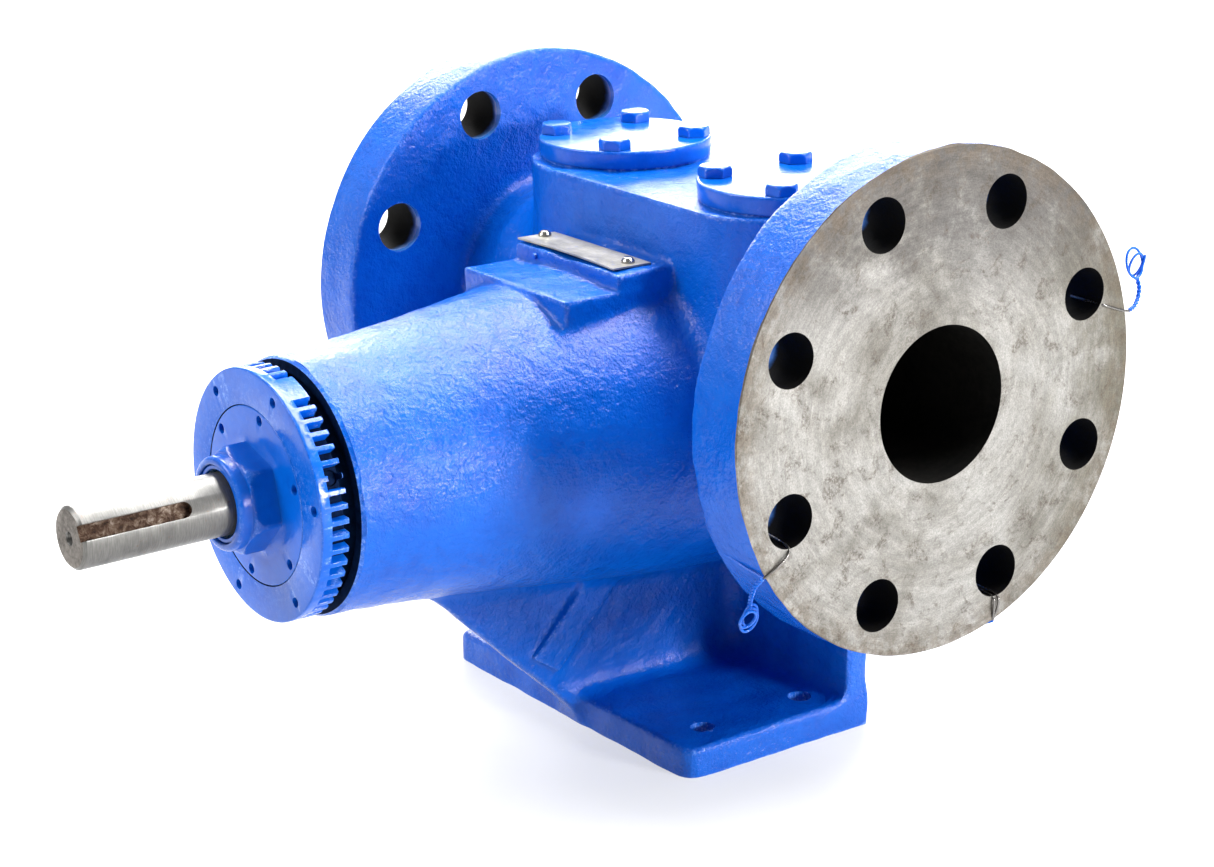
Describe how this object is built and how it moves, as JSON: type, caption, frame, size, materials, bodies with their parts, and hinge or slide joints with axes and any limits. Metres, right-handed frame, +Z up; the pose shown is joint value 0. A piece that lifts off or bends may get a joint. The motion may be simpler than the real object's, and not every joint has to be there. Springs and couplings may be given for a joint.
{
  "type": "internal gear pump",
  "caption": "Foot-mounted internal gear pump with two opposed drilled port flanges, blanked valve chest, keyed shaft and notched adjustable bearing housing.",
  "frame": {"origin": "on the plane the foot stands on, under the crossing of the port axis and the shaft axis", "axes": "+X along the ports towards the right flange, +Y along the shaft away from the drive end, +Z up"},
  "size_m": [0.3071, 0.4262, 0.2723],
  "materials": {
    "enamel": "gloss blue enamel over cast iron; the faces of both port flanges are bare and machined",
    "ground_steel": "ground steel",
    "dark_steel": "blackened steel",
    "gear_iron": "machined cast iron",
    "bronze": "plain bearing bronze",
    "seal_rubber": "nitrile rubber",
    "gasket": "compressed fibre sheet",
    "carbon": "carbon seal face",
    "nameplate_steel": "dull stamped steel, blank",
    "wire_steel": "drawn steel wire, tails over-painted blue"
  },
  "bodies": {
    "casing": {"pump_body": "enamel", "valve_cover_left": "enamel", "valve_cover_right": "enamel", "valve_gasket_left": "gasket", "valve_gasket_right": "gasket", "cover_bolt_1": "enamel", "cover_bolt_2": "enamel", "cover_bolt_3": "enamel", "cover_bolt_4": "enamel", "cover_bolt_5": "enamel", "cover_bolt_6": "enamel", "cover_bolt_7": "enamel", "cover_bolt_8": "enamel", "rear_head": "enamel", "head_gasket": "gasket", "head_bolt_1": "enamel", "head_bolt_2": "enamel", "head_bolt_3": "enamel", "head_bolt_4": "enamel", "head_bolt_5": "enamel", "head_bolt_6": "enamel", "head_bolt_7": "enamel", "head_bolt_8": "enamel", "idler_pin": "ground_steel", "seal_gland": "gear_iron", "seal_seat": "carbon", "bracket_bushing": "bronze", "nameplate": "nameplate_steel", "nameplate_screw_1": "nameplate_steel", "nameplate_screw_2": "nameplate_steel", "tag_wire_1": "wire_steel", "tag_wire_2": "wire_steel", "tag_wire_3": "wire_steel"},
    "shaft": {"drive_shaft": "ground_steel", "rotor": "gear_iron", "seal_rotary": "ground_steel", "bearing_inner_race": "ground_steel", "bearing_spacer": "dark_steel", "half_ring_1": "dark_steel", "half_ring_2": "dark_steel", "locknut": "dark_steel", "lock_washer": "dark_steel"},
    "idler": {"idler_gear": "gear_iron", "idler_bushing": "bronze"},
    "ball_cage": {"bearing_ball_cage": "ground_steel"},
    "housing": {"bearing_housing": "enamel", "end_cap": "enamel", "shaft_lip_seal": "seal_rubber", "inner_lip_seal": "seal_rubber", "housing_setscrew": "dark_steel", "bearing_outer_race": "ground_steel"}
  },
  "joints": [
    {"name": "shaft_spin", "type": "hinge", "parent": "casing", "child": "shaft", "pos_m": [0, -0.15, 0.1365], "axis": [0, 1, 0], "continuous": true},
    {"name": "idler_spin", "type": "hinge", "parent": "casing", "child": "idler", "pos_m": [0, 0.01, 0.1505], "axis": [0, 1, 0], "continuous": true},
    {"name": "ball_cage_spin", "type": "hinge", "parent": "casing", "child": "ball_cage", "pos_m": [0, -0.1978, 0.1365], "axis": [0, 1, 0], "continuous": true},
    {"name": "housing_adjust", "type": "hinge", "parent": "casing", "child": "housing", "pos_m": [0, -0.2, 0.1365], "axis": [0, 1, 0], "range_deg": [-20, 20]}
  ],
  "couplings": [
    {"joint": "idler_spin", "follows": "shaft_spin", "ratio": 1.4286},
    {"joint": "ball_cage_spin", "follows": "shaft_spin", "ratio": 0.397}
  ]
}
